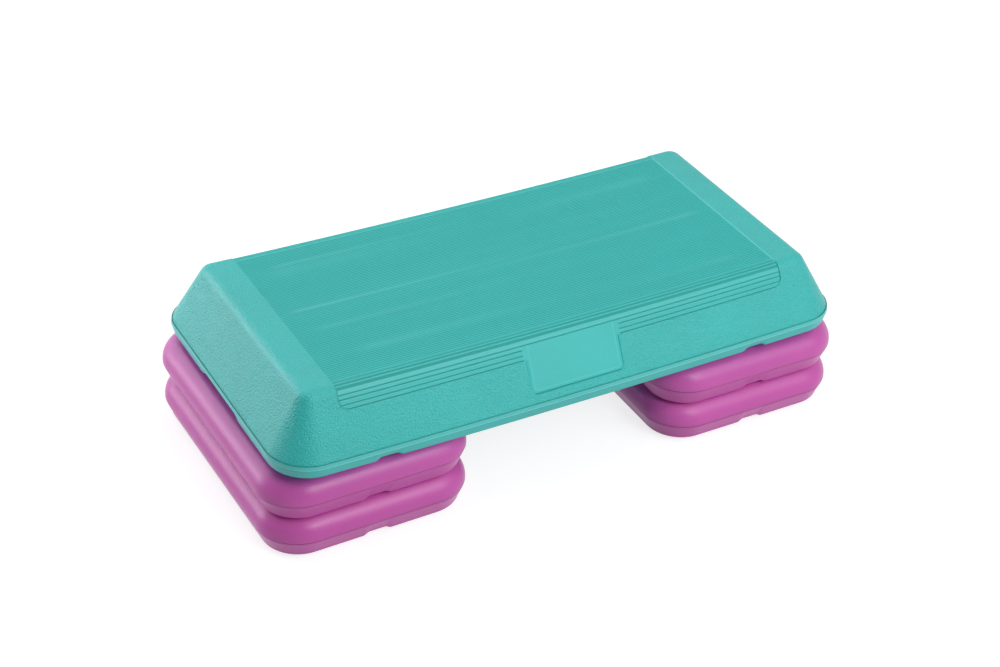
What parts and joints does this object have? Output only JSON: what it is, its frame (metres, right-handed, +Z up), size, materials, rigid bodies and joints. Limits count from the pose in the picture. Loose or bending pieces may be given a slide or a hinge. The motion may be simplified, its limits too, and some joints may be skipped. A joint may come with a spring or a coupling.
{
  "type": "aerobic step platform",
  "caption": "Low exercise step: a hollow platform with a ribbed tread, sloped sides and a rim, standing on stacked domed risers whose rubber feet sit in round cups.",
  "frame": {"origin": "on the floor, under the middle of the platform", "axes": "+X along the platform, +Y across it from the front to the back, +Z up"},
  "size_m": [0.7487, 0.3663, 0.2032],
  "materials": {
    "platform_plastic": "satin teal polyethylene with moulded grain and a ribbed tread",
    "riser_plastic": "satin orchid polyethylene with a fine moulded grain",
    "rubber": "matte black rubber"
  },
  "bodies": {
    "base": {"lower_left_riser": "riser_plastic", "lower_left_riser_foot_front_left": "rubber", "lower_left_riser_foot_front_right": "rubber", "lower_left_riser_foot_back_left": "rubber", "lower_left_riser_foot_back_right": "rubber", "lower_right_riser": "riser_plastic", "lower_right_riser_foot_front_left": "rubber", "lower_right_riser_foot_front_right": "rubber", "lower_right_riser_foot_back_left": "rubber", "lower_right_riser_foot_back_right": "rubber"},
    "upper_left": {"upper_left_riser": "riser_plastic", "upper_left_riser_foot_front_left": "rubber", "upper_left_riser_foot_front_right": "rubber", "upper_left_riser_foot_back_left": "rubber", "upper_left_riser_foot_back_right": "rubber"},
    "upper_right": {"upper_right_riser": "riser_plastic", "upper_right_riser_foot_front_left": "rubber", "upper_right_riser_foot_front_right": "rubber", "upper_right_riser_foot_back_left": "rubber", "upper_right_riser_foot_back_right": "rubber"},
    "platform": {"platform": "platform_plastic", "platform_foot_front_left": "rubber", "platform_foot_front_right": "rubber", "platform_foot_back_left": "rubber", "platform_foot_back_right": "rubber"}
  },
  "joints": [
    {"name": "upper_left_riser_lift", "type": "slide", "parent": "base", "child": "upper_left", "axis": [0, 0, 1], "range_m": [0, 0.08]},
    {"name": "upper_right_riser_lift", "type": "slide", "parent": "base", "child": "upper_right", "axis": [0, 0, 1], "range_m": [0, 0.08]},
    {"name": "platform_lift", "type": "slide", "parent": "upper_left", "child": "platform", "axis": [0, 0, 1], "range_m": [0, 0.12]}
  ],
  "couplings": [
    {"joint": "upper_right_riser_lift", "follows": "upper_left_riser_lift", "ratio": 1}
  ]
}
